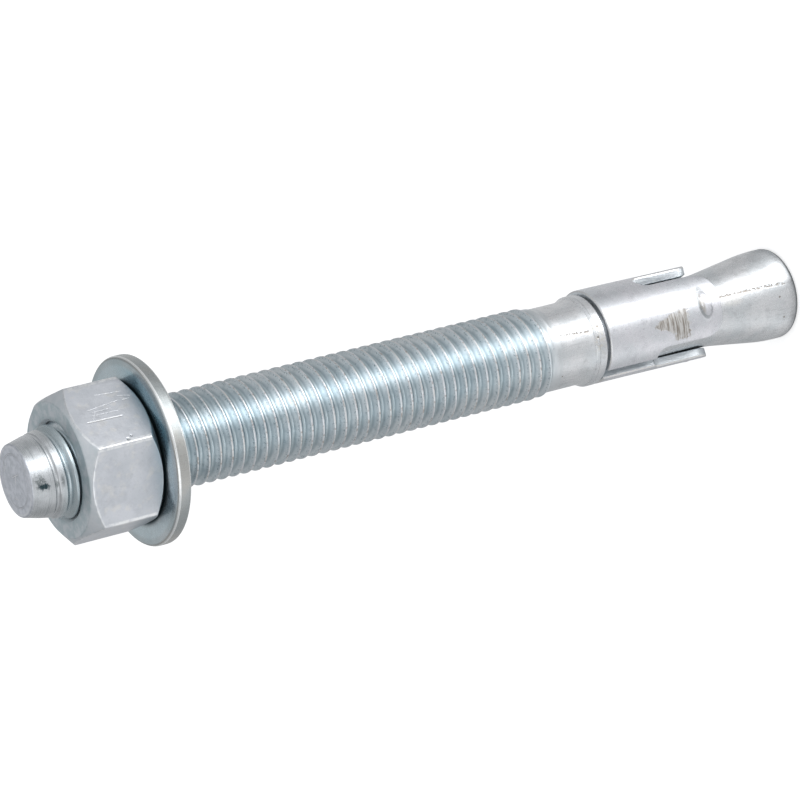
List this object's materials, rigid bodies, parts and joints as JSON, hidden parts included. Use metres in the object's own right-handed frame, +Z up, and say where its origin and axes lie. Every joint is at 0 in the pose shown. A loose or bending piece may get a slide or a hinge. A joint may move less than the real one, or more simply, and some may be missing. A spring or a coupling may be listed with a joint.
{
  "type": "wedge anchor",
  "caption": "Zinc-plated expansion bolt for concrete: a threaded stud with a flared cone, a slotted steel clip round its neck, a flat washer and a hexagon nut.",
  "frame": {"origin": "centre of the flat end face of the expansion cone", "axes": "+Z up the stud's axis, from the cone to the threaded tip; -Y is the side where one wing of the clip faces squarely out"},
  "size_m": [0.0374, 0.0374, 0.1778],
  "materials": {
    "stud_zinc": "bright zinc plate, satin, with rolled thread",
    "clip_zinc": "bright zinc plate on rolled sheet, satin",
    "washer_zinc": "bluish zinc plate, satin",
    "nut_zinc": "zinc plate, matt on the flats"
  },
  "bodies": {
    "stud": {"anchor_stud": "stud_zinc"},
    "clip": {"expansion_clip": "clip_zinc"},
    "washer": {"flat_washer": "washer_zinc"},
    "nut": {"hex_nut": "nut_zinc"}
  },
  "joints": [
    {"name": "washer_slide", "type": "slide", "parent": "stud", "child": "washer", "axis": [0, 0, 1], "range_m": [-0.0885, 0.016]},
    {"name": "nut_turn", "type": "hinge", "parent": "washer", "child": "nut", "pos_m": [0, 0, 0.1531], "axis": [0, 0, 1], "range_deg": [-12550, 2275]},
    {"name": "clip_slide", "type": "slide", "parent": "stud", "child": "clip", "axis": [0, 0, 1], "range_m": [-0.0011, 0.0006]}
  ],
  "couplings": [
    {"joint": "nut_turn", "follows": "washer_slide", "rad_per_m": 2473.7}
  ]
}
